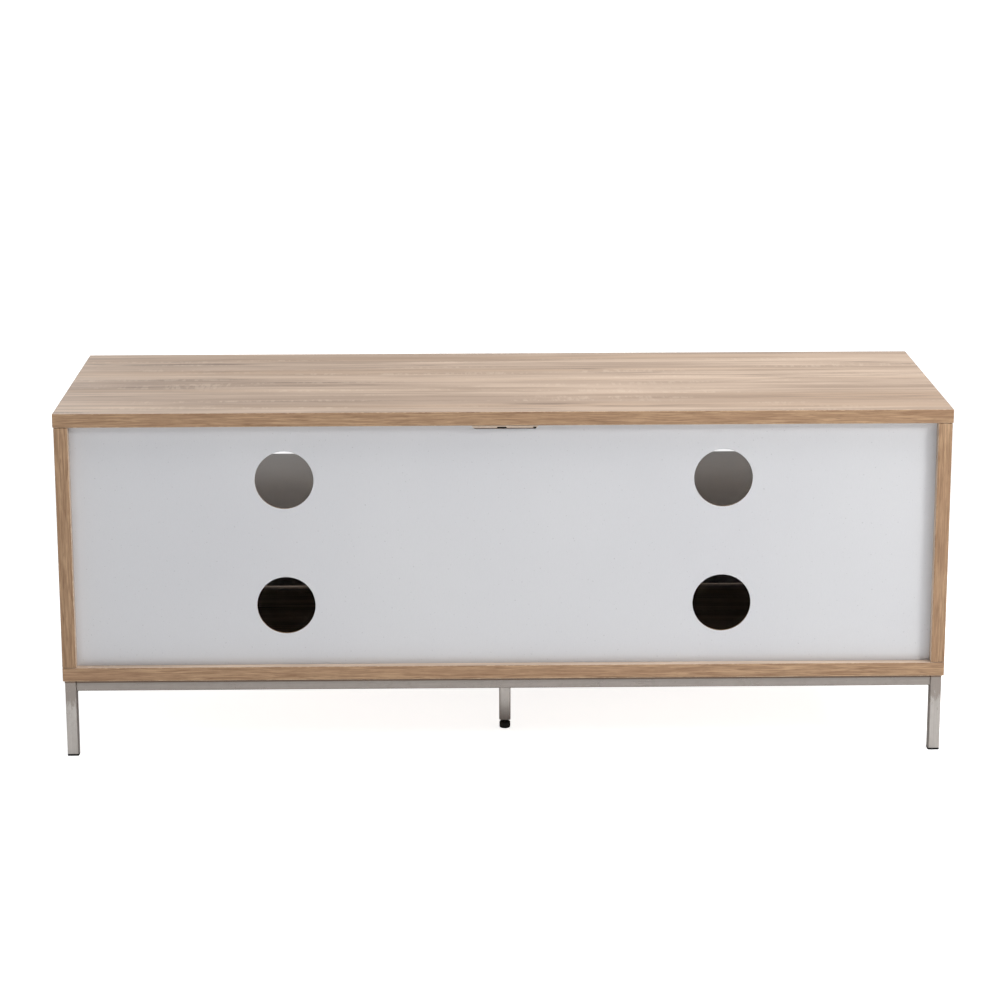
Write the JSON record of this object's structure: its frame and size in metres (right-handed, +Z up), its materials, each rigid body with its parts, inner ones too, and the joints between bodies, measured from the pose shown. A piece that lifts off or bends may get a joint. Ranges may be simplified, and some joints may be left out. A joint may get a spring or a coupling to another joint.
{
  "type": "tv stand",
  "caption": "Low tv stand: oak-look carcase with open bays over drop-down doors, recessed white back with round cable holes, slim steel tube base.",
  "frame": {"origin": "on the floor, under the middle of the stand", "axes": "+Z up, +X to the right seen from the front, the doors face -Y and the cable holes +Y"},
  "size_m": [1.14, 0.4, 0.455],
  "materials": {
    "oak_decor": "satin light oak decor",
    "white_board": "satin white melamine",
    "white_back": "matt white lacquered hardboard",
    "chrome_tube": "bright plated, lightly brushed",
    "zinc_steel": "zinc plated",
    "black_screw": "black oxide",
    "black_plastic": "matt black",
    "white_plastic": "white nylon",
    "clear_rubber": "translucent soft bumper"
  },
  "bodies": {
    "stand": {"top_panel": "oak_decor", "bottom_panel": "oak_decor", "left_side_panel": "oak_decor", "right_side_panel": "oak_decor", "centre_divider": "oak_decor", "left_shelf": "white_board", "right_shelf": "white_board", "back_panel": "white_back", "front_rail": "chrome_tube", "rear_rail": "chrome_tube", "left_end_rail": "chrome_tube", "right_end_rail": "chrome_tube", "cross_rail": "chrome_tube", "left_front_leg": "chrome_tube", "left_rear_leg": "chrome_tube", "right_front_leg": "chrome_tube", "right_rear_leg": "chrome_tube", "centre_leg": "chrome_tube", "anchor_bracket": "zinc_steel", "anchor_screw": "black_screw", "left_stay_mount": "zinc_steel", "left_front_frame_screw": "zinc_steel", "left_rear_frame_screw": "zinc_steel", "left_outer_pivot_bush": "white_plastic", "left_inner_pivot_bush": "white_plastic", "left_catch_housing": "white_plastic", "left_front_leg_cap": "black_plastic", "left_rear_leg_cap": "black_plastic", "right_stay_mount": "zinc_steel", "right_front_frame_screw": "zinc_steel", "right_rear_frame_screw": "zinc_steel", "right_outer_pivot_bush": "white_plastic", "right_inner_pivot_bush": "white_plastic", "right_catch_housing": "white_plastic", "right_front_leg_cap": "black_plastic", "right_rear_leg_cap": "black_plastic", "centre_leg_insert": "black_plastic"},
    "left_door": {"left_door": "white_board", "left_door_left_pin": "zinc_steel", "left_door_right_pin": "zinc_steel", "left_stay_bracket": "zinc_steel", "left_strike_plate": "zinc_steel", "left_door_left_bumper": "clear_rubber", "left_door_right_bumper": "clear_rubber"},
    "left_stay_arm": {"left_stay_arm": "zinc_steel"},
    "left_stay_guide": {"left_stay_guide": "black_plastic"},
    "left_catch_plunger": {"left_catch_plunger": "white_plastic"},
    "right_door": {"right_door": "white_board", "right_door_left_pin": "zinc_steel", "right_door_right_pin": "zinc_steel", "right_stay_bracket": "zinc_steel", "right_strike_plate": "zinc_steel", "right_door_left_bumper": "clear_rubber", "right_door_right_bumper": "clear_rubber"},
    "right_stay_arm": {"right_stay_arm": "zinc_steel"},
    "right_stay_guide": {"right_stay_guide": "black_plastic"},
    "right_catch_plunger": {"right_catch_plunger": "white_plastic"},
    "levelling_foot": {"levelling_foot": "black_plastic"}
  },
  "joints": [
    {"name": "left_door_hinge", "type": "hinge", "parent": "stand", "child": "left_door", "pos_m": [-0.28, -0.191, 0.1327], "axis": [1, 0, 0], "range_deg": [0, 90]},
    {"name": "left_stay_arm_pivot", "type": "hinge", "parent": "left_door", "child": "left_stay_arm", "pos_m": [-0.5408, -0.17202, 0.25119], "axis": [1, 0, 0], "range_deg": [-45, 0]},
    {"name": "left_stay_guide_pivot", "type": "hinge", "parent": "stand", "child": "left_stay_guide", "pos_m": [-0.5435, -0.13466, 0.23865], "axis": [1, 0, 0], "range_deg": [0, 45]},
    {"name": "left_catch_push", "type": "slide", "parent": "stand", "child": "left_catch_plunger", "axis": [0, 1, 0], "range_m": [0, 0.003], "stiffness_N_per_m": 400},
    {"name": "right_door_hinge", "type": "hinge", "parent": "stand", "child": "right_door", "pos_m": [0.28, -0.191, 0.1327], "axis": [1, 0, 0], "range_deg": [0, 90]},
    {"name": "right_stay_arm_pivot", "type": "hinge", "parent": "right_door", "child": "right_stay_arm", "pos_m": [0.5408, -0.17202, 0.25119], "axis": [1, 0, 0], "range_deg": [-45, 0]},
    {"name": "right_stay_guide_pivot", "type": "hinge", "parent": "stand", "child": "right_stay_guide", "pos_m": [0.5435, -0.13466, 0.23865], "axis": [1, 0, 0], "range_deg": [0, 45]},
    {"name": "right_catch_push", "type": "slide", "parent": "stand", "child": "right_catch_plunger", "axis": [0, 1, 0], "range_m": [0, 0.003], "stiffness_N_per_m": 400},
    {"name": "levelling_foot_screw", "type": "slide", "parent": "stand", "child": "levelling_foot", "axis": [0, 0, 1], "range_m": [-0.01, 0.0025]}
  ],
  "couplings": [
    {"joint": "left_stay_arm_pivot", "follows": "left_door_hinge", "ratio": -0.5},
    {"joint": "left_stay_guide_pivot", "follows": "left_door_hinge", "ratio": 0.5},
    {"joint": "right_stay_arm_pivot", "follows": "right_door_hinge", "ratio": -0.5},
    {"joint": "right_stay_guide_pivot", "follows": "right_door_hinge", "ratio": 0.5}
  ]
}
